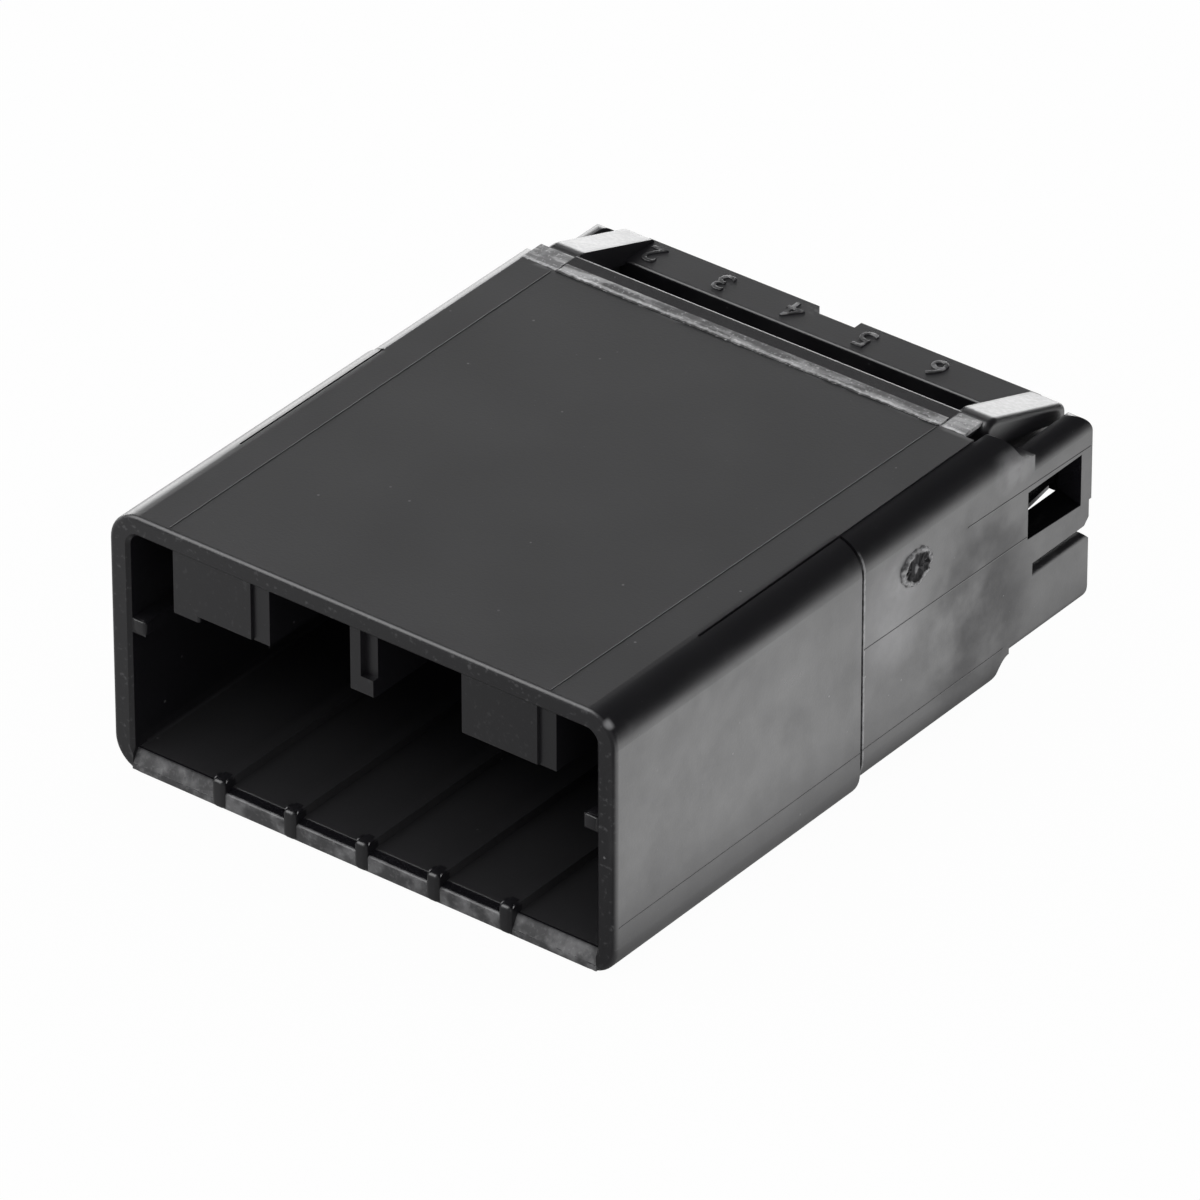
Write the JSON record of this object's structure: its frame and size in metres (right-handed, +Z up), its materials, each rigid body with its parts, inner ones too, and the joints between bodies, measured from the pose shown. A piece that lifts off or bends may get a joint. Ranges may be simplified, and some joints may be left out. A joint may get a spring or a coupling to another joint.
{
  "type": "wire to board connector housing",
  "caption": "Black moulded connector housing with a keyed open mouth, wire cavities, side loops and a hinged rear lock flap.",
  "frame": {"origin": "middle of the lower face, under the middle of the whole width and depth", "axes": "+X to the right seen from the mouth, +Y from the mouth to the wire side, +Z up"},
  "size_m": [0.0244, 0.0304, 0.0117],
  "materials": {
    "black_plastic": "smooth satin moulded plastic"
  },
  "bodies": {
    "housing": {"housing": "black_plastic"},
    "flap": {"rear_lock_flap": "black_plastic"}
  },
  "joints": [
    {"name": "flap_hinge", "type": "hinge", "parent": "housing", "child": "flap", "pos_m": [0, 0.0091, 0.0115], "axis": [1, 0, 0], "range_deg": [0, 70]}
  ]
}
